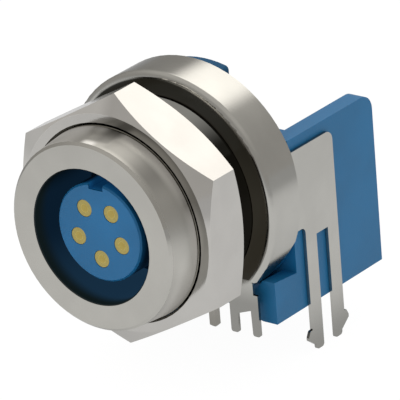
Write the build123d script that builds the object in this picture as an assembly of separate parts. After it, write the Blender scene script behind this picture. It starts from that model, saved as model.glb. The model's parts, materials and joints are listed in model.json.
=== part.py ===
from build123d import *
import math
import os

# Sizes in millimetres. The origin is on the connector's axis in the plane where
# the front disc meets the panel. Y runs to the rear, Z up from the board.

slide_gap = 0.03        # gap between moulded or stamped pieces that fit together
thread_gap = 0.04       # radial play of the nut on the barrel

# Metal shell
face_reach = 5.70       # mating face in front of the panel seat
bore_r = 3.22
collar_r = 4.50
thread_r = 4.68
thread_lead = 0.08
thread_front = 4.01     # start of the threaded length, in front of the seat
collar_edge = 0.13
bore_edge = 0.05
body_flange_t = 1.07
flange_flat = 4.55      # flat under the flange, below the axis
sleeve_r = 4.30         # rear of the barrel, which the flange ring is pressed onto
sleeve_len = 0.38       # sleeve behind the flange
seat_bore_r = 3.70
seat_depth = 1.05       # counterbore for the insert's flange and its ring
clip_groove_r = 3.95
clip_groove_w = 0.40

# Hexagon nut
nut_af = 10.60
nut_t = 2.50
nut_gap = 1.45          # room for the panel between nut and seat
nut_edge_r = 5.22       # where the corner chamfers start
nut_edge_angle = 30
nut_sink = 0.08
nut_turn = 1.5          # how far past upright the nut has stopped, clockwise, in degrees

# Stamped shield
cap_t = 0.15
cap_r = 5.80
cap_edge = 0.26
cap_bend = 0.10         # inside radius of the same bend
skirt_len = 2.20
skirt_low = 3.60        # lower edge of the skirt, below the axis
skirt_side = 2.07       # rear edge of the skirt beside the plates
skirt_side_z = 0.60
relief_y = 0.85
relief_mid_y = 1.64
relief_mid_z = 2.86
relief_top_z = 2.12
plate_drop = 0.42       # outer faces of the side plates, inside the skirt's outer radius
plate_front = 1.35
plate_rear = 5.34
plate_top = 2.12
plate_corner = 0.48
plate_low = 2.39        # where the plate splits into legs, below the axis
arch_r = 0.30
arch_top = 1.75         # underside of the plate in front of the legs
leg_w = 0.80
leg_pitch = 1.67
leg_reach = 7.95        # leg tips below the axis
barb_out = 0.31
barb_h = 0.85
barb_top = 6.88
barb_edge = 0.10
tip_inset = 0.25        # how much narrower the tip is than the leg
leg_tip = 0.15
skirt_blend = 0.50
leg_root = 0.40
tail_tip = 0.12
tail_draw = 0.04
tab_half = 4.37
tab_low_half = 4.60
tab_step = 4.20
tab_low = 4.72
web_in = 5.28
web_out = 5.01
tail_in_x = 2.97
tail_in_w = 0.43
tail_out_w = 0.40
tab_tail_reach = 6.25

# Contact insert
tower_r = 2.35
tower_reach = 5.10
tower_foot = 1.70       # front of the base, in front of the seat
tower_socket = 0.25     # how far the tower stands in the base
tower_edge = 0.08
key_w = 0.80
key_depth = 0.30
seal_groove_depth = 0.40
seal_groove_w = 0.62
seal_groove_rear = 0.02
insert_seal_w = 0.56
insert_flange_t = 0.40
boss_r = 2.05
boss_end = 2.20
ring_in_r = 2.30
ring_split = 1.00

# Contacts
contact_count = 5
contact_ring_r = 1.28
contact_r = 0.40
contact_hole_gap = 0.02
contact_inset = 0.02    # contact face behind the insert's face
contact_bore_r = 0.20
contact_bore_depth = 3.00
shoulder_r = 0.55
shoulder_rear = 1.10    # behind the seat
wire_w = 0.36
wire_socket = 0.80      # how far a tail stands in its contact
bend_r = 0.60
tail_reach = 7.68
tail_edge = 0.10
row_low = 2.54          # tail rows behind the seat, from the lowest contact up
row_mid = 4.40
row_top = 5.30

# Moulded rear housing
board_z = 5.70          # underside that sits on the board, below the axis
cheek_in = 4.32
cheek_top = 2.65
cheek_rear = 8.72
cheek_corner = 0.80
arm_in = 4.00
arm_front = 0.56
arm_top = 3.65
arm_fall = 0.19         # fall of the arm's top towards the rear
arm_corner = 0.45
block_front = 1.45
block_step = 4.30
block_top = 2.10
block_slope_y = 4.30
block_rear_top = -0.40
wall_t = 0.35
cavity_half = 3.20
cavity_rear = 7.00
guide_t = 0.60
lug_half = 1.38
lug_rear = 3.27
lug_r = 5.36
lug_depth = 0.90        # down from the lug's top
lug_corner = 0.20

# Places that follow from the sizes above
flange_rear = cap_t + body_flange_t
flange_hole_r = sleeve_r + slide_gap
sleeve_rear = flange_rear + sleeve_len
insert_seat = sleeve_rear - seat_depth
inner_r = cap_r - cap_t
tube_r = inner_r - slide_gap
cap_hole_r = thread_r + slide_gap
plate_half = cap_r - plate_drop
plate_in = plate_half - cap_t
cheek_out = plate_in - slide_gap
base_r = bore_r - slide_gap
tower_rear = tower_socket - tower_foot
lug_low = lug_r - lug_depth
insert_flange_r = seat_bore_r - slide_gap
leg1_front = plate_rear - leg_pitch - leg_w
cheek_front = skirt_len + slide_gap
cavity_front = skirt_len
cavity_top = block_top - wall_t
slope = (block_rear_top - block_top) / (cheek_rear - block_slope_y)
rows = [row_top, row_top, row_mid, row_low, row_mid]


def turned(points):
    """Solid of revolution about the connector's axis, from (radius, y) points."""
    return revolve(make_face(Polyline(*points, close=True)), Axis.Y)


def side_slab(outline, x0, x1):
    """Outline in (y, z) made solid between two x planes."""
    return extrude(Plane.YZ.offset(x0) * outline, x1 - x0)


def front_slab(outline, y0, y1):
    """Outline in (x, z) made solid between two y planes."""
    return extrude(Plane.XZ.offset(-y1) * outline, y1 - y0)


def area(*points):
    return make_face(Polyline(*points, close=True))


def rounded(face, radius, *corners):
    """Face with the corners nearest to the given points rounded."""
    picked = [min(face.vertices(), key=lambda v: math.hypot(v.X - a, v.Y - b)) for a, b in corners]
    return fillet(picked, radius)


def both_sides(solid):
    return [solid, mirror(solid, Plane.YZ)]


def rod(radius, y0, y1):
    return turned([(0, y0), (radius, y0), (radius, y1), (0, y1)])


def make_shell_body():
    profile = [
        (bore_r + bore_edge, -face_reach), (collar_r - collar_edge, -face_reach),
        (collar_r, collar_edge - face_reach), (collar_r, -thread_front),
        (thread_r, thread_lead - thread_front), (thread_r, cap_t), (sleeve_r, cap_t),
        (sleeve_r, sleeve_rear), (seat_bore_r, sleeve_rear),
        (seat_bore_r, insert_seat + insert_flange_t + clip_groove_w),
        (clip_groove_r, insert_seat + insert_flange_t + clip_groove_w),
        (clip_groove_r, insert_seat + insert_flange_t), (seat_bore_r, insert_seat + insert_flange_t),
        (seat_bore_r, insert_seat), (bore_r, insert_seat), (bore_r, bore_edge - face_reach),
    ]
    return turned(profile)


def make_flange_ring():
    ring = turned([(flange_hole_r, cap_t), (tube_r - cap_bend, cap_t), (tube_r, cap_t + cap_bend),
                   (tube_r, flange_rear), (flange_hole_r, flange_rear)])
    return ring - front_slab(area((-cap_r, -cap_r), (cap_r, -cap_r), (cap_r, -flange_flat), (-cap_r, -flange_flat)),
                             cap_t, flange_rear)


def make_hex_nut():
    front, rear = -nut_gap - nut_t, -nut_gap
    reach = nut_af / math.sqrt(3) + 0.2
    drop = (reach - nut_edge_r) * math.tan(math.radians(nut_edge_angle))
    prism = front_slab(RegularPolygon(nut_af / 2, 6, major_radius=False, rotation=30), front, rear)
    rounds = turned([(0, front), (nut_edge_r, front), (reach, front + drop),
                     (reach, rear - drop), (nut_edge_r, rear), (0, rear)])
    hole_r = thread_r + thread_gap
    hole = turned([(0, front), (hole_r + nut_sink, front), (hole_r, front + nut_sink),
                   (hole_r, rear - nut_sink), (hole_r + nut_sink, rear), (0, rear)])
    return Rot(0, nut_turn, 0) * ((prism & rounds) - hole)


def skirt_window():
    """Side outline of the rolled skirt, with its relieved lower rear corner."""
    window = area((0, cap_r), (skirt_len, cap_r), (skirt_len, plate_top), (skirt_side, skirt_side_z),
                  (skirt_side, -relief_top_z), (relief_mid_y, -relief_mid_z), (relief_y, -skirt_low),
                  (0, -skirt_low))
    return rounded(window, skirt_blend, (relief_mid_y, -relief_mid_z), (relief_y, -skirt_low))


def snap_leg(edge, way):
    """Outline of one leg whose barbed edge lies at y = edge and points along y."""
    root, tip, low = -plate_low + leg_root, edge - way * tip_inset, -barb_top - barb_h
    leg = area((edge, root), (edge, -barb_top), (edge + way * barb_out / 2, -barb_top),
               (edge + way * barb_out, low + barb_h * 0.65), (edge + way * barb_out, low + barb_h * 0.5),
               (tip, low), (tip, -leg_reach), (edge - way * leg_w, -leg_reach), (edge - way * leg_w, root))
    leg = rounded(leg, leg_tip, (tip, -leg_reach), (edge - way * leg_w, -leg_reach))
    return rounded(leg, barb_edge, (edge + way * barb_out / 2, -barb_top), (edge + way * barb_out, low + barb_h * 0.5))


def side_plate():
    """Outline of one side plate with its pair of snap legs, in (y, z)."""
    plate = area((plate_front, plate_top), (plate_rear, plate_top), (plate_rear, -plate_low),
                 (leg1_front, -plate_low), (leg1_front, -arch_top), (plate_front, -arch_top))
    plate = rounded(plate, plate_corner, (plate_rear, plate_top))
    plate = rounded(plate, arch_r, (leg1_front, -arch_top))
    return plate + snap_leg(leg1_front, -1) + snap_leg(plate_rear, 1)


def front_tab():
    """Outline of the right half of the front tab with its two tails, in (x, z)."""
    tail_in_end = tail_in_x + tail_in_w
    tail_out_x = tab_low_half - tail_out_w
    half = area((0, -skirt_low), (tab_half, -skirt_low), (tab_half, -tab_step), (tab_low_half, -tab_step),
                (tab_low_half, -tab_tail_reach), (tail_out_x, -tab_tail_reach), (tail_out_x - tail_draw, -web_out),
                (tail_in_end, -web_in), (tail_in_end, -tab_tail_reach), (tail_in_x, -tab_tail_reach),
                (tail_in_x, -tab_low), (0, -tab_low))
    return rounded(half, tail_tip, (tab_low_half, -tab_tail_reach), (tail_out_x, -tab_tail_reach),
                   (tail_in_end, -tab_tail_reach), (tail_in_x, -tab_tail_reach))


def make_shield_cap():
    cup = area((cap_hole_r, 0), (cap_r, 0), (cap_r, skirt_len), (inner_r, skirt_len), (inner_r, cap_t),
               (cap_hole_r, cap_t))
    cup = rounded(rounded(cup, cap_edge, (cap_r, 0)), cap_bend, (inner_r, cap_t))
    cap = revolve(cup, Axis.Y) & side_slab(skirt_window(), -cap_r, cap_r)
    for half in both_sides(front_slab(front_tab(), 0, cap_t)):
        cap += half - rod(cap_hole_r, 0, cap_t)
    for plate in both_sides(side_slab(side_plate(), plate_in, plate_half)):
        cap += plate
    return cap


def contact_place(index):
    """Place of a contact hole in (x, z), counted clockwise from the upper left."""
    angle = math.radians(90 + 180 / contact_count - 360 / contact_count * index)
    return contact_ring_r * math.cos(angle), contact_ring_r * math.sin(angle)


def with_contact_holes(solid, radius, front, rear):
    hole = rod(radius, front, rear)
    for index in range(contact_count):
        x, z = contact_place(index)
        solid -= Pos(x, 0, z) * hole
    return solid


def make_contact_insert():
    """Front half of the insert: the keyed tower that stands free in the shell."""
    tower = turned([(0, -tower_reach), (tower_r - tower_edge, -tower_reach), (tower_r, tower_edge - tower_reach),
                    (tower_r, tower_rear), (0, tower_rear)])
    tower -= front_slab(area((-key_w / 2, tower_r - key_depth), (key_w / 2, tower_r - key_depth),
                             (key_w / 2, tower_r + key_depth), (-key_w / 2, tower_r + key_depth)),
                        -tower_reach, tower_rear)
    return with_contact_holes(tower, contact_r + contact_hole_gap, -tower_reach, tower_rear)


def make_insert_base():
    """Rear half of the insert: carries the tower, and traps the contacts behind it."""
    groove_front = -seal_groove_rear - seal_groove_w
    groove_r = base_r - seal_groove_depth
    base = turned([
        (0, tower_rear), (tower_r + slide_gap, tower_rear), (tower_r + slide_gap, -tower_foot), (base_r, -tower_foot),
        (base_r, groove_front), (groove_r, groove_front), (groove_r, -seal_groove_rear), (base_r, -seal_groove_rear),
        (base_r, insert_seat), (insert_flange_r, insert_seat), (insert_flange_r, insert_seat + insert_flange_t),
        (boss_r, insert_seat + insert_flange_t), (boss_r, boss_end), (0, boss_end),
    ])
    return with_contact_holes(base, shoulder_r + contact_hole_gap, tower_rear, boss_end)


def make_insert_seal():
    middle = -seal_groove_rear - seal_groove_w / 2
    front, rear = middle - insert_seal_w / 2, middle + insert_seal_w / 2
    inner = base_r - seal_groove_depth
    return turned([(inner, front), (bore_r, front), (bore_r, rear), (inner, rear)])


def make_retaining_ring():
    front = insert_seat + insert_flange_t
    ring = turned([(ring_in_r, front), (clip_groove_r - slide_gap, front),
                   (clip_groove_r - slide_gap, front + clip_groove_w - slide_gap),
                   (ring_in_r, front + clip_groove_w - slide_gap)])
    gap = front_slab(area((-ring_split / 2, 0), (ring_split / 2, 0), (ring_split / 2, cap_r), (-ring_split / 2, cap_r)),
                     front, front + clip_groove_w)
    return ring - gap


def contact_wire(index, width):
    """Square wire from inside the contact back, round one bend and down to the board."""
    x, z = contact_place(index)
    row = rows[index]
    start = shoulder_rear - wire_socket
    path = FilletPolyline((x, start, z), (x, row, z), (x, row, -tail_reach), radius=bend_r)
    section = Plane(origin=(x, start, z), z_dir=(0, 1, 0)) * Rectangle(width, width)
    return sweep(section, path)


def make_tail(index):
    wire = contact_wire(index, wire_w)
    tip = wire.faces().sort_by(Axis.Z)[0]
    return chamfer(tip.edges(), tail_edge)


def make_contact(index):
    """Turned socket contact with a square pocket for its tail."""
    x, z = contact_place(index)
    front = -tower_reach + contact_inset
    barrel = turned([
        (0, front + contact_bore_depth), (contact_bore_r, front + contact_bore_depth), (contact_bore_r, front),
        (contact_r, front), (contact_r, tower_rear), (shoulder_r, tower_rear), (shoulder_r, shoulder_rear),
        (0, shoulder_rear),
    ])
    pocket_w = wire_w + 2 * contact_hole_gap
    pocket = Pos(0, shoulder_rear - wire_socket / 2, 0) * Box(pocket_w, wire_socket, pocket_w)
    return Pos(x, 0, z) * (barrel - pocket)


def block_side(shrink=0):
    """Side outline of the cavity or of its filling, in (y, z)."""
    rear_z = cavity_top + slope * (cavity_rear - block_slope_y)
    return area((cavity_front + shrink, guide_t - board_z + shrink), (cavity_rear - shrink, guide_t - board_z + shrink),
                (cavity_rear - shrink, rear_z - shrink), (block_slope_y, cavity_top - shrink),
                (cavity_front + shrink, cavity_top - shrink))


def make_cheek():
    """Side wall behind the right plate, with the arm that reaches forward under the skirt."""
    wall = area((cheek_front, -board_z), (cheek_rear, -board_z), (cheek_rear, cheek_top), (cheek_front, cheek_top))
    cheek = side_slab(rounded(wall, cheek_corner, (cheek_rear, cheek_top)), cheek_in, cheek_out)
    arm_side = area((arm_front, -board_z), (cheek_front + wall_t, -board_z),
                    (cheek_front + wall_t, -arm_top - arm_fall), (arm_front, -arm_top))
    arm_face = area((arm_in, -arm_top), (cheek_out, -arm_top), (cheek_out, -board_z), (arm_in, -board_z))
    arm_face = rounded(arm_face, arm_corner, (arm_in, -board_z))
    arm = side_slab(arm_side, arm_in, cheek_out) & front_slab(arm_face, arm_front, cheek_front + wall_t)
    return cheek + (arm - rod(cap_r + slide_gap, 0, cheek_front))


def make_rear_housing():
    block = side_slab(area((block_front, -board_z), (cheek_rear, -board_z), (cheek_rear, block_rear_top),
                           (block_slope_y, block_top), (cheek_front, block_top), (cheek_front, -block_step),
                           (block_front, -block_step)), -cheek_in, cheek_in)
    tube = rod(tube_r, flange_rear, cheek_front)
    tube &= front_slab(area((-cheek_out, -board_z), (cheek_out, -board_z), (cheek_out, cap_r), (-cheek_out, cap_r)),
                       flange_rear, cheek_front)
    housing = block + tube
    lug = front_slab(area((-lug_half, lug_low), (lug_half, lug_low), (lug_half, cap_r), (-lug_half, cap_r)),
                     flange_rear, lug_rear)
    lug &= rod(lug_r, flange_rear, lug_rear)
    lug = fillet(lug.edges().filter_by(Axis.Y).group_by(Axis.Z)[-1], lug_corner)
    housing += lug
    for cheek in both_sides(make_cheek()):
        housing += cheek
    housing -= rod(sleeve_r + slide_gap, flange_rear, sleeve_rear)
    housing -= rod(boss_r + slide_gap, sleeve_rear, cavity_front + wall_t)
    housing -= side_slab(block_side(), -cavity_half, cavity_half)
    floor_cut = area((cavity_front, -board_z), (cavity_rear, -board_z), (cavity_rear, guide_t - board_z),
                     (cavity_front, guide_t - board_z))
    return housing - side_slab(floor_cut, -cavity_half, cavity_half)


def make_tail_guide():
    outline = area((cavity_front + slide_gap, -board_z), (cavity_rear - slide_gap, -board_z),
                   (cavity_rear - slide_gap, guide_t - board_z), (cavity_front + slide_gap, guide_t - board_z))
    guide = side_slab(outline, slide_gap - cavity_half, cavity_half - slide_gap)
    for index in range(contact_count):
        guide -= contact_wire(index, wire_w + 2 * contact_hole_gap)
    return guide


def make_potting_fill():
    fill = side_slab(block_side(slide_gap), slide_gap - cavity_half, cavity_half - slide_gap)
    for index in range(contact_count):
        fill -= contact_wire(index, wire_w + 2 * contact_hole_gap)
    return fill


nodes = {
    "shell_body": make_shell_body(),
    "flange_ring": make_flange_ring(),
    "hex_nut": make_hex_nut(),
    "shield_cap": make_shield_cap(),
    "contact_insert": make_contact_insert(),
    "insert_base": make_insert_base(),
    "insert_seal": make_insert_seal(),
    "retaining_ring": make_retaining_ring(),
    "rear_housing": make_rear_housing(),
    "tail_guide": make_tail_guide(),
    "potting_fill": make_potting_fill(),
}
for number in range(contact_count):
    nodes[f"contact_{number + 1}"] = make_contact(number)
    nodes[f"tail_{number + 1}"] = make_tail(number)

os.makedirs("parts", exist_ok=True)
for name, solid in nodes.items():
    export_step(solid, f"parts/{name}.step")
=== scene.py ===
import json
import math

import bmesh
import bpy
from bpy.props import FloatProperty, FloatVectorProperty, PointerProperty
from mathutils import Matrix, Vector

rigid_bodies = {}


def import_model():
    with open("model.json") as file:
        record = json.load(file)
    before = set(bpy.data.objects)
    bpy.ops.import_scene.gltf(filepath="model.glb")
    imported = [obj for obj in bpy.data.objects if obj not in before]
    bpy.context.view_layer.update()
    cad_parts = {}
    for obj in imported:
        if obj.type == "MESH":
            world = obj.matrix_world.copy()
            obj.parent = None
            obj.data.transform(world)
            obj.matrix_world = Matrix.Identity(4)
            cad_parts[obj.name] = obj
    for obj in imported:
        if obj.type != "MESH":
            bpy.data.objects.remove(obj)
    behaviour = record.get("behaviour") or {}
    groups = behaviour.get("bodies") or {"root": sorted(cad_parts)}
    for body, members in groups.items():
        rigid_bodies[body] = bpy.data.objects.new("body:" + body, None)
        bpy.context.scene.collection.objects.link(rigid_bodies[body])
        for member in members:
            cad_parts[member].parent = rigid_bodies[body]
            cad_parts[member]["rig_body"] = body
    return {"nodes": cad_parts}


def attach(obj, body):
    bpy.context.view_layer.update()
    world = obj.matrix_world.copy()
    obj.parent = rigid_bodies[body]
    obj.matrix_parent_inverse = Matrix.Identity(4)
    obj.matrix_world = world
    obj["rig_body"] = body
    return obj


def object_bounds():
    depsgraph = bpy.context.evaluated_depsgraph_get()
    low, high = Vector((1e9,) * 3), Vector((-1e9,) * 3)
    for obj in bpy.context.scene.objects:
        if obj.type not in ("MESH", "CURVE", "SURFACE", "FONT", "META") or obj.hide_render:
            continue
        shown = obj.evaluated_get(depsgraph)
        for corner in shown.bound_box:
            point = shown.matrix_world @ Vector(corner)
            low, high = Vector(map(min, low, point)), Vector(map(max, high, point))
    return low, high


bl_info = {
    "name": "Angled socket connector",
    "version": (1, 0, 0),
    "blender": (4, 5, 0),
    "location": "View3D > Sidebar > Connector",
    "description": "Dresses the packed socket connector in its metals, mouldings and contacts",
    "category": "Object",
}

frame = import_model()
CAD_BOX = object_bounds()
NODES = frame["nodes"]
BODY_OF = {name: node["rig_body"] for name, node in NODES.items()}
MM = 0.001

# Places on the solids, in millimetres: radii from the connector's axis, y to the rear of the seat, z up.
# Those that part painted light and shade from the plain finish stand a little off the edge itself.

BORE = 3.26                 # radius that takes in the bore's wall
BARREL = 4.515              # radius between the collar's side and the barrel
COLLAR_REAR = -4.03         # y where the collar's side ends
BEHIND_NUT = (-1.7, -0.12)  # y of the barrel that shows behind the nut
NUT_CHAMFER = 5.22          # radius where the nut's corner chamfers start
NUT_SLOPE = 0.577           # their fall, the tangent of 30 degrees
NUT_FRONT = -3.93           # y just behind the nut's front
DISC_RIM = (5.5, 5.42)      # radii where the shield's flat disc gives way to its rounded rim
DISC_BACK = 0.03            # y behind the disc's front
DISC_LOW = -3.5             # z of the disc's lower end
TAB_BACK = 0.3              # y behind the shield's front tab
TAB_PAINTED_SHADE = (-3.4, -4.8)     # z from which painted shade darkens the tab, and where it is darkest
LEG_PAINTED_SHADE = (-5.2, -7.8)     # the same for the legs and tails
TOWER_FACE = -5.04          # y just behind the face of the insert's tower
TOWER = 2.4                 # radius that takes in the tower
CONTACT_BORE = 0.205        # radius that takes in a contact's bore
LUG_FOOT = 4.3              # z where the housing's top lug starts

FLARE_STEPS = 192
FLARE_PROFILE = (           # radius and y of the collar's side, its rear lip and its hidden inside
    (4.46, -5.57), (4.502, -5.568), (4.66, COLLAR_REAR), (4.52, -4.02), (4.46, -4.2))
SHARP = math.radians(28)    # edges that turn by more than this are sharp
WELD_REACH = 2e-7

# Places of the camera and the lamps, in metres, and of the studio's soft panel, in degrees

CAMERA_RIGHT = 0.00485
CAMERA_UP = 0.00168
CAMERA_AIM = Vector((0, -0.00573, 0))
KEY_PLACE = (-0.10, -0.06, 0.20)
FILL_PLACE = (0.06, -0.20, 0.08)
LAMP_SIZE = 0.12
FLOOR_SIZE = 4.0
FLOOR_GAP = 0.00002         # keeps the floor clear of the leg tips
PANEL_AT = (-167, 43)       # azimuth and elevation
PANEL_EDGE = (26, 9)        # how far from its middle the panel starts to show, and where it is full

# Colours of single surfaces, and the painted light and shade put onto them

BLACK = (0.0, 0.0, 0.0, 1.0)
WHITE = (1.0, 1.0, 1.0, 1.0)
EDGE_TINT = (0.62, 0.62, 0.62, 1.0)         # keeps plated metal from whitening where it is seen edge on
STUDIO_WARM = (1.0, 0.97, 0.93, 1.0)
PAINTED_SHADE_METAL = (0.19, 0.18, 0.155, 1.0)     # painted shade on the metal that faces only the gap between the nut and the shield
# painted shade: near-black for the bore's wall and for the shield's disc behind the nut
PAINTED_SHADE_BLACK = (0.02, 0.022, 0.024, 1.0)
# painted dark reflection of the nut on the collar's side, in a wedge and a patch at the upper right
PAINTED_DARK_REFLECTION = (0.02, 0.02, 0.02, 1.0)
# painted light, given off by the barrel's upper part behind the nut, the collar's side and the nut's chamfer
BARREL_PAINTED_LIGHT = (0.20, 0.196, 0.18, 1.0)
COLLAR_PAINTED_LIGHT = (0.11, 0.106, 0.10)
NUT_PAINTED_LIGHT = (0.15, 0.146, 0.138, 1.0)
DISC_PAINTED_REFLECTION_TOP = (0.0140, 0.0125, 0.0090, 1.0)    # painted reflection, given off as light: what the gap behind the nut throws onto the shield's disc
DISC_PAINTED_REFLECTION_SIDE = (0.0245, 0.0215, 0.0155, 1.0)
WELL_PAINTED_NAVY = (0.0030, 0.011, 0.024, 1.0)     # painted reflection, given off as light: what the blue insert throws onto the wall of the bore
WELL_PAINTED_LOW = (0.008, 0.026, 0.052, 1.0)
WELL_PAINTED_MOUTH = (0.0045, 0.0085, 0.0090, 1.0)
WELL_PAINTED_TOP = (0.0008, 0.0022, 0.0024, 1.0)
KEYWAY_PAINTED_GLOW = (0.0022, 0.024, 0.070, 1.0)      # painted light: blue light given off in the insert's keyway, under the edge of the bore


# Shader graphs

class Wire:
    """An output socket that takes part in Python arithmetic; each operator adds a Math node."""

    def __init__(self, graph, socket):
        self.graph = graph
        self.socket = socket

    def math(self, operation, *others):
        values = dict(enumerate((self, *others)))
        return self.graph.add("ShaderNodeMath", {"operation": operation}, values)["Value"]

    def __add__(self, other):
        return self.math("ADD", other)

    def __radd__(self, other):
        return self.math("ADD", other)

    def __sub__(self, other):
        return self.math("SUBTRACT", other)

    def __rsub__(self, other):
        return self.graph.add("ShaderNodeMath", {"operation": "SUBTRACT"}, {0: other, 1: self})["Value"]

    def __mul__(self, other):
        return self.math("MULTIPLY", other)

    def __rmul__(self, other):
        return self.math("MULTIPLY", other)

    def __gt__(self, other):
        return self.math("GREATER_THAN", other)

    def __lt__(self, other):
        return self.math("LESS_THAN", other)

    def root(self):
        return self.math("SQRT")

    def larger(self, other):
        return self.math("MAXIMUM", other)

    def ramp(self, start, end):
        """0 before start and 1 after end, with a soft change between them; start may be the higher one."""
        settings = {"interpolation_type": "SMOOTHSTEP"}
        values = {"Value": self, "From Min": start, "From Max": end}
        return self.graph.add("ShaderNodeMapRange", settings, values)["Result"]


class Outputs:
    """A node whose outputs are read by name or number."""

    def __init__(self, graph, node):
        self.graph = graph
        self.node = node

    def __getitem__(self, name):
        return Wire(self.graph, self.node.outputs[name])


class Graph:
    """The node tree of one material or world."""

    def __init__(self, owner):
        owner.use_nodes = True
        self.tree = owner.node_tree
        self.tree.nodes.clear()

    def add(self, kind, settings=None, values=None):
        """Adds a node of this type, with its settings first and then its sockets' values or links."""
        node = self.tree.nodes.new(kind)
        for name, value in (settings or {}).items():
            setattr(node, name, value)
        for name, value in (values or {}).items():
            if isinstance(value, Wire):
                self.tree.links.new(value.socket, node.inputs[name])
            else:
                node.inputs[name].default_value = value
        return Outputs(self, node)

    def mix_colour(self, factor, first, second):
        """First colour where the factor is 0, second where it is 1."""
        return self.add("ShaderNodeMix", {"data_type": "RGBA"}, {0: factor, 6: first, 7: second})[2]

    def mottle(self, pattern, colour, darker, paler, start=0.3):
        """The colour times two shares, the darker one where the pattern is low."""
        return self.mix_colour(pattern.ramp(start, 0.7), toned(colour, darker), toned(colour, paler))

    def scale(self, vector, factor):
        return self.add("ShaderNodeVectorMath", {"operation": "SCALE"}, {0: vector, "Scale": factor})["Vector"]

    def stretch(self, vector, sizes):
        """The vector with each part multiplied by its own number."""
        return self.add("ShaderNodeVectorMath", {"operation": "MULTIPLY"}, {0: vector, 1: sizes})["Vector"]

    def place(self):
        """The surface point in millimetres, as a vector, and as x, y and z wires."""
        point = self.scale(self.add("ShaderNodeTexCoord")["Object"], 1 / MM)
        parts = self.add("ShaderNodeSeparateXYZ", None, {0: point})
        return point, parts["X"], parts["Y"], parts["Z"]

    def noise(self, vector, scale, detail=2.0, rough=0.5):
        values = {"Vector": vector, "Scale": scale, "Detail": detail, "Roughness": rough}
        return self.add("ShaderNodeTexNoise", None, values)["Fac"]

    def bump(self, height, distance):
        """A normal from a height between 0 and 1, with the distance in millimetres."""
        return self.add("ShaderNodeBump", None, {"Height": height, "Distance": distance * MM})["Normal"]

    def surface(self, **sockets):
        """The material's shader and output; a socket's name has _ for each space."""
        values = {name.replace("_", " "): value for name, value in sockets.items()}
        shader = self.add("ShaderNodeBsdfPrincipled", None, values)
        self.add("ShaderNodeOutputMaterial", None, {"Surface": shader["BSDF"]})


def new_material(name):
    material = bpy.data.materials.new(name)
    return material, Graph(material)


def toned(colour, share):
    """The colour times a number, with its alpha."""
    return (*(min(1.0, part * share) for part in colour), 1.0)


def reach(across, up):
    """Distance from an axis, from two wires square to it and to each other."""
    return (across * across + up * up).root()


# Sizes and colours that a user would change

def colour_property(name, description, default):
    return FloatVectorProperty(
        name=name, description=description, default=default, subtype="COLOR", size=3, min=0, max=1)


def share_property(name, description, default):
    return FloatProperty(
        name=name, description=description, default=default, subtype="FACTOR", min=0, max=1)


def length_property(name, description, default):
    return FloatProperty(
        name=name, description=description, default=default, subtype="DISTANCE", unit="LENGTH", min=0)


def plain_property(name, description, default):
    return FloatProperty(name=name, description=description, default=default)


class ConnectorMetals(bpy.types.PropertyGroup):
    nickel: colour_property("Nickel", "Plating on the shell", (0.42, 0.412, 0.383))
    nut: colour_property("Nut", "Plating on the nut", (0.455, 0.445, 0.425))
    sheet: colour_property("Sheet", "Plated sheet of the shield", (0.425, 0.42, 0.395))
    tin: colour_property("Tin", "Coating of the tails", (0.40, 0.385, 0.35))
    gold: colour_property("Gold", "Plating on the contacts", (0.42, 0.345, 0.105))
    nickel_rough: share_property("Nickel roughness", "Blur of the turned metal's reflections", 0.11)
    collar_rough: share_property("Collar roughness", "Blur of the reflections on the collar's side", 0.32)
    sheet_rough: share_property("Sheet roughness", "Blur of the sheet's reflections", 0.15)


class ConnectorMouldings(bpy.types.PropertyGroup):
    insert: colour_property("Insert blue", "Moulded contact insert", (0.014, 0.170, 0.41))
    housing: colour_property("Housing blue", "Moulded rear housing", (0.012, 0.162, 0.375))
    rubber: colour_property("Rubber", "Seal ring", (0.012, 0.012, 0.013))
    resin: colour_property("Resin", "Tail guide and potting", (0.02, 0.021, 0.025))
    edge: length_property("Moulded edge", "Rounding of the moulded edges", 0.00008)


class ConnectorStage(bpy.types.PropertyGroup):
    floor: colour_property("Floor", "Pale floor", (0.86, 0.86, 0.85))
    azimuth: plain_property("Azimuth", "Camera's turn to the right of the front, in degrees", 39.04)
    elevation: plain_property("Elevation", "Camera's height above the horizon, in degrees", 23.04)
    roll: plain_property("Roll", "Camera's roll, in degrees", -4.69)
    distance: length_property("Distance", "Camera's distance along its line of sight", 0.220)
    lens: plain_property("Lens", "Focal length in millimetres", 446.77)
    key: plain_property("Key light", "Power of the large lamp above, in watts", 0.06)
    fill: plain_property("Fill light", "Power of the lamp at the front, in watts", 0.03)


# Finishes, with their painted light and shade

def paint_shell_light_and_shade(graph, tint, blur, place):
    """Painted shade on the barrel behind the nut, with painted light only above, and near-black painted shade on
    the bore's wall with a painted reflection of the insert's blue.
    """
    x, y, z, radius = place
    bore = radius < BORE
    barrel = (radius > BARREL) * (y > COLLAR_REAR)
    slant = z - x * 0.70
    upper = barrel * (y > BEHIND_NUT[0]) * (y < BEHIND_NUT[1]) * slant.ramp(-0.12, 0.12)
    # painted shade on the barrel behind the nut except its lit upper part, and near-black painted shade in the
    # bore
    tint = graph.mix_colour(barrel * (1.0 - upper), tint, PAINTED_SHADE_METAL)
    tint = graph.mix_colour(bore, tint, PAINTED_SHADE_BLACK)
    # painted light on the barrel's upper part, and a painted reflection of the insert's blue on the bore's wall
    painted_glow = graph.mix_colour(upper * slant.ramp(0.6, 3.2), BLACK, BARREL_PAINTED_LIGHT)
    painted_well_reflection = graph.mix_colour(z.ramp(-0.5, -3.2), WELL_PAINTED_NAVY, WELL_PAINTED_LOW)
    painted_well_reflection = graph.mix_colour(y.ramp(-4.7, -5.5), painted_well_reflection, WELL_PAINTED_MOUTH)
    painted_well_reflection = graph.mix_colour(z.ramp(1.0, 2.8), painted_well_reflection, WELL_PAINTED_TOP)
    return tint, blur + bore * 0.3, graph.mix_colour(bore, painted_glow, painted_well_reflection)


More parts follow.
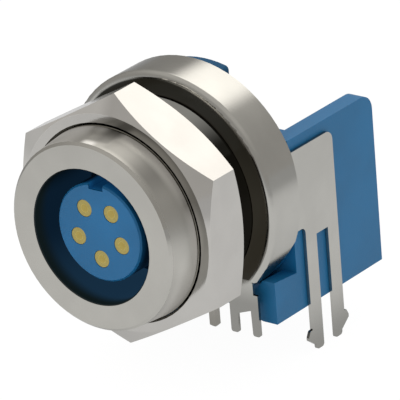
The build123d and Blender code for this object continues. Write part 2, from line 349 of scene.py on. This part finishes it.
def paint_collar_light_and_shade(graph, tint, blur, place):
    """The collar's side: painted darkening at the upper right, a painted dark reflection in a wedge and a painted
    glint on top, painted light below and at the root.
    """
    x, y, z, _ = place
    # painted dark reflection of the nut: a dimmed patch at the upper right and a dark wedge on top
    upper = z.ramp(2.3, 3.4) * x.ramp(0.4, 1.1) * y.ramp(-4.4, -4.75) * (1.0 - y.ramp(-5.3, -5.55) * 0.6)
    wedge = x.ramp(1.3, 0.8) * x.ramp(-0.1, 0.5) * z.ramp(0.0, 1.0) * y.ramp(-5.45, -5.0)
    tint = graph.mix_colour((upper * 0.37).larger(wedge * 0.5), tint, PAINTED_DARK_REFLECTION)
    # painted light, given off below, at the left and at the root
    below = z.ramp(0.4, -1.6) * y.ramp(-5.7, -4.9)
    left = x.ramp(-0.2, -1.3) * z.ramp(1.6, 3.0)
    left = left + x.ramp(-0.2, -0.8) * z.ramp(2.8, 3.5) * (y.ramp(-5.3, -4.2) * 0.9 + 0.2)
    root = y.ramp(-4.7, -4.2) * z.ramp(1.2, 2.6) * (1.0 - wedge) * 0.8
    root_right = y.ramp(-4.6, -4.1) * z.ramp(2.2, 1.0) * 1.3
    lit = below.larger(left).larger(root).larger(root_right)
    # a painted glint on the top of the collar's front edge
    glint = x.ramp(-0.35, 0.05) * x.ramp(0.65, 0.25) * z.ramp(0.0, 1.0) * y.ramp(-5.15, -5.45)
    return tint, blur, graph.scale(COLLAR_PAINTED_LIGHT, lit + glint * 4.5)


def paint_nut_light(graph, tint, blur, place):
    """Painted light on the nut's front chamfer, lifting it at its upper left to the flat beside it, and less at
    the upper right.
    """
    x, y, z, radius = place
    # painted light on the nut's front chamfer, more at its upper left
    chamfer = (radius > NUT_CHAMFER - 0.01) * ((y - (radius - NUT_CHAMFER) * NUT_SLOPE) < NUT_FRONT)
    upper = z.ramp(-0.5, 1.5) * (x.ramp(0.3, -0.6) * 0.6 + 0.4)
    return tint, blur, graph.mix_colour(chamfer * upper, BLACK, NUT_PAINTED_LIGHT)


def turned_metal(name, colour, rough, shade):
    """Plated turned metal with fine rings from the lathe; the last argument is the rule that paints light and
    shade onto the piece.
    """
    material, graph = new_material(name)
    point, x, y, z = graph.place()
    radius = reach(x, z)
    along = graph.add("ShaderNodeCombineXYZ", None, {0: radius * 9.0, 1: y * 9.0})["Vector"]
    rings = graph.noise(along, 3.0, 3.0, 0.7)
    stains = graph.noise(point, 0.45, 3.0)
    grain = graph.noise(point, 14.0, 2.0)
    tint = graph.mottle(stains, colour, 0.97, 1.03, start=0.35)
    blur = rough - 0.02 + stains * 0.02 + grain * 0.02
    tint, blur, painted_glow = shade(graph, tint, blur, (x, y, z, radius))
    graph.surface(
        Base_Color=tint, Metallic=1.0, Specular_Tint=EDGE_TINT, Roughness=blur,
        Normal=graph.bump(rings * 0.7 + grain * 0.3, 0.0010),
        Emission_Color=painted_glow, Emission_Strength=1.0)
    return material


def sheet_metal(name, colour, rough):
    """Plated sheet with a faint grain that runs up and down, with painted shade low down, and near-black painted
    shade with a painted reflection where the nut faces it.
    """
    material, graph = new_material(name)
    point, x, y, z = graph.place()
    grain = graph.noise(graph.stretch(point, (9.0, 9.0, 0.8)), 2.0, 3.0, 0.6)
    clouds = graph.noise(point, 0.5, 3.0)
    tint = graph.mottle(clouds, colour, 0.96, 1.03)
    # painted shade: the tab, and below it the legs and tails, darker towards the bottom
    tab = (y < TAB_BACK) * z.ramp(*TAB_PAINTED_SHADE)
    painted_low_shade = graph.mix_colour(z.ramp(*LEG_PAINTED_SHADE).larger(tab), tint, toned(colour, 0.62))
    # painted shade on the disc behind the nut, with a painted reflection given off as light
    disc = (y < DISC_BACK) * (z > DISC_LOW) * reach(x, z).ramp(*DISC_RIM)
    painted_glow = graph.mix_colour(z.ramp(3.6, 0.0), DISC_PAINTED_REFLECTION_TOP, DISC_PAINTED_REFLECTION_SIDE)
    graph.surface(
        Base_Color=graph.mix_colour(disc, painted_low_shade, PAINTED_SHADE_BLACK), Metallic=1.0, Specular_Tint=EDGE_TINT,
        Roughness=rough - 0.02 + clouds * 0.03 + grain * 0.02, Normal=graph.bump(grain, 0.0010),
        Emission_Color=graph.mix_colour(disc, BLACK, painted_glow), Emission_Strength=1.0)
    return material


def moulding(name, colour, rough, texture, shaded_from=None, lug_above=None):
    """Moulded plastic with a fine mould texture; painted shade behind one plane, or above another, in
    millimetres, and painted blue light in the tower's notch behind the first.
    """
    material, graph = new_material(name)
    point, x, y, z = graph.place()
    pores = graph.noise(point, 11.0, 3.0, 0.6)
    flow = graph.noise(point, 0.35, 2.0)
    tint = graph.mottle(flow, colour, 0.93, 1.06)
    blur = rough - 0.04 + flow * 0.05 + pores * 0.04
    sockets = {}
    if shaded_from is not None:
        # painted shade: the tower's side and the base behind its face are darker
        tint = graph.mix_colour(y.ramp(shaded_from, shaded_from + 0.5), tint, toned(colour, 0.16))
        # painted light: blue light given off in the notch of the tower, under the edge of the bore
        tower = (y > shaded_from + 0.02) * (reach(x, z) < TOWER)
        keyway = tower * x.ramp(-0.9, -0.3) * z.ramp(1.6, 2.2)
        sockets = {"Emission_Color": graph.mix_colour(keyway, BLACK, KEYWAY_PAINTED_GLOW), "Emission_Strength": 1.0}
    if lug_above is not None:
        # painted shade: the housing's top lug is darker; it is also rougher
        lug = z > lug_above
        tint = graph.mix_colour(lug, tint, toned(colour, 0.5))
        blur = blur + lug * 0.4
    graph.surface(
        Base_Color=tint, Roughness=blur, Normal=graph.bump(pores, texture),
        Specular_IOR_Level=0.3, **sockets)
    return material


def gold_contact(name, colour, centre):
    """Gold plating, with painted light that makes the inside of this contact's bore as bright as its rim."""
    material, graph = new_material(name)
    point, x, _, z = graph.place()
    grain = graph.noise(point, 8.0, 2.0)
    red, green, blue = colour
    # painted light: the inside of the bore gives off gold light
    inside = reach(x - centre[0], z - centre[1]) < CONTACT_BORE
    graph.surface(
        Base_Color=graph.mottle(grain, colour, 0.95, 1.05), Metallic=0.6, Roughness=0.34 + grain * 0.06,
        Emission_Color=graph.mix_colour(inside, BLACK, (red, green * 1.05, blue * 1.3, 1.0)),
        Emission_Strength=0.5, Normal=graph.bump(grain, 0.0010))
    return material


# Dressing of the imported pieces

def dress(name, material, edge=0.0):
    """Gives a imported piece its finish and, where asked, a small rounding on its sharp edges."""
    piece = NODES[name]
    piece.data.materials.clear()
    piece.data.materials.append(material)
    if edge:
        weld = piece.modifiers.new("weld", "WELD")
        weld.merge_threshold = WELD_REACH
        bevel = piece.modifiers.new("edge", "BEVEL")
        bevel.width = edge
        bevel.segments = 2
        bevel.limit_method = "ANGLE"
        bevel.angle_limit = SHARP
        bevel.harden_normals = True


def add_collar_flare(material):
    """The collar's side as a slender cone that grows from the front chamfer to the gap round the nut's bore."""
    mesh = bmesh.new()
    rings = []
    for step in range(FLARE_STEPS):
        angle = 2 * math.pi * step / FLARE_STEPS
        rings.append([
            mesh.verts.new((radius * MM * math.cos(angle), y * MM, radius * MM * math.sin(angle)))
            for radius, y in FLARE_PROFILE])
    for step, ring in enumerate(rings):
        following = rings[(step + 1) % FLARE_STEPS]
        for i in range(len(ring)):
            j = (i + 1) % len(ring)
            mesh.faces.new((ring[i], ring[j], following[j], following[i])).smooth = True
    bmesh.ops.recalc_face_normals(mesh, faces=mesh.faces)
    for edge in mesh.edges:
        edge.smooth = edge.calc_face_angle(0) < SHARP
    data = bpy.data.meshes.new("collar_flare")
    mesh.to_mesh(data)
    mesh.free()
    data.materials.append(material)
    flare = bpy.data.objects.new("collar_flare", data)
    bpy.context.scene.collection.objects.link(flare)
    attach(flare, BODY_OF["shell_body"])


class CONNECTOR_OT_shell(bpy.types.Operator):
    """Dress the turned shell and its flange ring, and add the collar's side"""

    bl_idname = "connector.shell"
    bl_label = "Shell"

    def execute(self, context):
        metals = context.scene.connector_metals
        nickel = turned_metal("nickel_shell", metals.nickel, metals.nickel_rough, paint_shell_light_and_shade)
        dress("shell_body", nickel)
        dress("flange_ring", nickel)
        add_collar_flare(turned_metal("nickel_collar", metals.nickel, metals.collar_rough, paint_collar_light_and_shade))
        return {"FINISHED"}


class CONNECTOR_OT_nut(bpy.types.Operator):
    """Dress the hexagon nut"""

    bl_idname = "connector.nut"
    bl_label = "Hexagon nut"

    def execute(self, context):
        metals = context.scene.connector_metals
        dress("hex_nut", turned_metal("nickel_nut", metals.nut, metals.nickel_rough, paint_nut_light))
        return {"FINISHED"}


class CONNECTOR_OT_shield(bpy.types.Operator):
    """Dress the stamped shield with its snap legs and tails"""

    bl_idname = "connector.shield"
    bl_label = "Stamped shield"

    def execute(self, context):
        metals = context.scene.connector_metals
        dress("shield_cap", sheet_metal("plated_sheet", metals.sheet, metals.sheet_rough))
        return {"FINISHED"}


class CONNECTOR_OT_insert(bpy.types.Operator):
    """Dress the two halves of the moulded contact insert"""

    bl_idname = "connector.insert"
    bl_label = "Contact insert"

    def execute(self, context):
        colour = context.scene.connector_mouldings.insert
        blue = moulding("insert_moulding", colour, rough=0.34, texture=0.004, shaded_from=TOWER_FACE)
        dress("contact_insert", blue)
        dress("insert_base", blue)
        return {"FINISHED"}


class CONNECTOR_OT_contacts(bpy.types.Operator):
    """Dress the gold socket contacts, their tinned tails and the split ring"""

    bl_idname = "connector.contacts"
    bl_label = "Contacts and tails"

    def execute(self, context):
        metals = context.scene.connector_metals
        tin = sheet_metal("tinned_wire", metals.tin, rough=0.3)
        for name in NODES:
            if name.startswith("contact_") and name != "contact_insert":
                corners = NODES[name].bound_box
                centre = [(corners[0][i] + corners[6][i]) / 2 / MM for i in (0, 2)]
                dress(name, gold_contact(f"gold_{name}", metals.gold, centre))
            elif name.startswith("tail_") and name != "tail_guide":
                dress(name, tin)
        dress("retaining_ring", tin)
        return {"FINISHED"}


class CONNECTOR_OT_housing(bpy.types.Operator):
    """Dress the moulded rear housing, its tail guide and the potting"""

    bl_idname = "connector.housing"
    bl_label = "Rear housing"

    def execute(self, context):
        mouldings = context.scene.connector_mouldings
        blue = moulding("housing_moulding", mouldings.housing, rough=0.42, texture=0.006, lug_above=LUG_FOOT)
        dress("rear_housing", blue, mouldings.edge)
        resin = moulding("resin", mouldings.resin, rough=0.5, texture=0.006)
        dress("tail_guide", resin, mouldings.edge / 2)
        dress("potting_fill", resin)
        return {"FINISHED"}


class CONNECTOR_OT_seal(bpy.types.Operator):
    """Dress the rubber seal ring round the insert"""

    bl_idname = "connector.seal"
    bl_label = "Seal ring"

    def execute(self, context):
        rubber = context.scene.connector_mouldings.rubber
        dress("insert_seal", moulding("seal_rubber", rubber, rough=0.6, texture=0.008))
        return {"FINISHED"}


# Stage

def towards(azimuth, elevation):
    """The direction that lies to the right of the front and above the horizon by these angles, in radians."""
    level = math.cos(elevation)
    return Vector((math.sin(azimuth) * level, -math.cos(azimuth) * level, math.sin(elevation)))


def add_camera(stage):
    azimuth, elevation, roll = (math.radians(a) for a in (stage.azimuth, stage.elevation, stage.roll))
    back = towards(azimuth, elevation)
    level = Vector((math.cos(azimuth), math.sin(azimuth), 0))
    upright = back.cross(level)
    right = level * math.cos(roll) + upright * math.sin(roll)
    up = upright * math.cos(roll) - level * math.sin(roll)
    data = bpy.data.cameras.new("camera")
    data.lens = stage.lens
    data.sensor_width = 36.0
    data.clip_start = 0.01
    data.clip_end = 50.0
    camera = bpy.data.objects.new("camera", data)
    bpy.context.scene.collection.objects.link(camera)
    place = back * stage.distance + right * CAMERA_RIGHT + up * CAMERA_UP + CAMERA_AIM
    camera.matrix_world = Matrix.Translation(place) @ Matrix((right, up, back)).transposed().to_4x4()
    bpy.context.scene.camera = camera


def add_floor(stage):
    """Pale floor under the leg tips, white to the eye and to the metal, with the connector's shadow kept."""
    bpy.ops.mesh.primitive_plane_add(size=FLOOR_SIZE, location=(0, 0, CAD_BOX[0].z - FLOOR_GAP))
    floor = bpy.context.object
    floor.name = "floor"
    material, graph = new_material("pale_floor")
    rays = graph.add("ShaderNodeLightPath")
    _, x, y, _ = graph.place()
    away = reach(x, y).ramp(20.0, 75.0)
    bright = (rays["Is Camera Ray"] * 1.04).larger(1.05 - away * 0.48)
    seen = rays["Is Camera Ray"].larger(rays["Is Glossy Ray"]).larger(rays["Is Transmission Ray"])
    plain = graph.add("ShaderNodeBsdfDiffuse", None, {"Color": (*stage.floor, 1.0)})["BSDF"]
    white = graph.add("ShaderNodeEmission", None, {"Color": WHITE, "Strength": bright})["Emission"]
    mixed = graph.add("ShaderNodeMixShader", None, {0: seen * 0.92, 1: plain, 2: white})["Shader"]
    graph.add("ShaderNodeOutputMaterial", None, {"Surface": mixed})
    floor.data.materials.append(material)


def add_world():
    """A studio's walls, paler above, with one broad soft panel high behind the connector; white to the camera."""
    world = bpy.data.worlds.new("studio")
    bpy.context.scene.world = world
    graph = Graph(world)
    direction = graph.add("ShaderNodeTexCoord")["Generated"]
    height = graph.add("ShaderNodeSeparateXYZ", None, {0: direction})["Z"]
    axis = towards(*map(math.radians, PANEL_AT))
    facing = graph.add("ShaderNodeVectorMath", {"operation": "DOT_PRODUCT"}, {0: direction, 1: axis})["Value"]
    panel = facing.ramp(*(math.cos(math.radians(edge)) for edge in PANEL_EDGE))
    level = panel * 1.75 + height.ramp(0.3, 0.95) * 0.25 + 0.55
    lit = graph.add("ShaderNodeBackground", None, {"Color": STUDIO_WARM, "Strength": level})["Background"]
    white = graph.add("ShaderNodeBackground", None, {"Color": WHITE, "Strength": 1.0})["Background"]
    camera_ray = graph.add("ShaderNodeLightPath")["Is Camera Ray"]
    mixed = graph.add("ShaderNodeMixShader", None, {0: camera_ray, 1: lit, 2: white})["Shader"]
    graph.add("ShaderNodeOutputWorld", None, {"Surface": mixed})


def add_lamp(name, place, power):
    """A square soft lamp that faces the connector."""
    data = bpy.data.lights.new(name, "AREA")
    data.shape = "SQUARE"
    data.size = LAMP_SIZE
    data.energy = power
    lamp = bpy.data.objects.new(name, data)
    bpy.context.scene.collection.objects.link(lamp)
    lamp.location = place
    lamp.rotation_mode = "QUATERNION"
    lamp.rotation_quaternion = Vector(place).to_track_quat("Z", "Y")
    lamp.visible_glossy = False


class CONNECTOR_OT_stage(bpy.types.Operator):
    """Set up the floor, the studio light and the camera"""

    bl_idname = "connector.stage"
    bl_label = "Stage"

    def execute(self, context):
        stage = context.scene.connector_stage
        context.scene.view_settings.view_transform = "Standard"
        add_floor(stage)
        add_world()
        add_lamp("key_lamp", KEY_PLACE, stage.key)
        add_lamp("fill_lamp", FILL_PLACE, stage.fill)
        add_camera(stage)
        return {"FINISHED"}


class CONNECTOR_PT_panel(bpy.types.Panel):
    """Lists the connector's pieces in the sidebar"""

    bl_idname = "CONNECTOR_PT_panel"
    bl_label = "Connector"
    bl_space_type = "VIEW_3D"
    bl_region_type = "UI"
    bl_category = "Connector"

    def draw(self, context):
        for group in (getattr(context.scene, name) for name in GROUPS):
            column = self.layout.column(align=True)
            for name in group.bl_rna.properties.keys():
                if name not in {"rna_type", "name"}:
                    column.prop(group, name)
        for operator in OPERATORS:
            self.layout.operator(operator.bl_idname)


GROUPS = {
    "connector_metals": ConnectorMetals,
    "connector_mouldings": ConnectorMouldings,
    "connector_stage": ConnectorStage,
}
OPERATORS = (
    CONNECTOR_OT_shell,
    CONNECTOR_OT_nut,
    CONNECTOR_OT_shield,
    CONNECTOR_OT_insert,
    CONNECTOR_OT_contacts,
    CONNECTOR_OT_housing,
    CONNECTOR_OT_seal,
    CONNECTOR_OT_stage,
)


def register():
    for cls in (*GROUPS.values(), *OPERATORS, CONNECTOR_PT_panel):
        bpy.utils.register_class(cls)
    for name, group in GROUPS.items():
        setattr(bpy.types.Scene, name, PointerProperty(type=group))


def unregister():
    for name in GROUPS:
        delattr(bpy.types.Scene, name)
    for cls in (CONNECTOR_PT_panel, *OPERATORS, *GROUPS.values()):
        bpy.utils.unregister_class(cls)


def main():
    register()
    for operator in OPERATORS:
        section, action = operator.bl_idname.split(".")
        getattr(getattr(bpy.ops, section), action)()


if __name__ == "__main__":
    main()
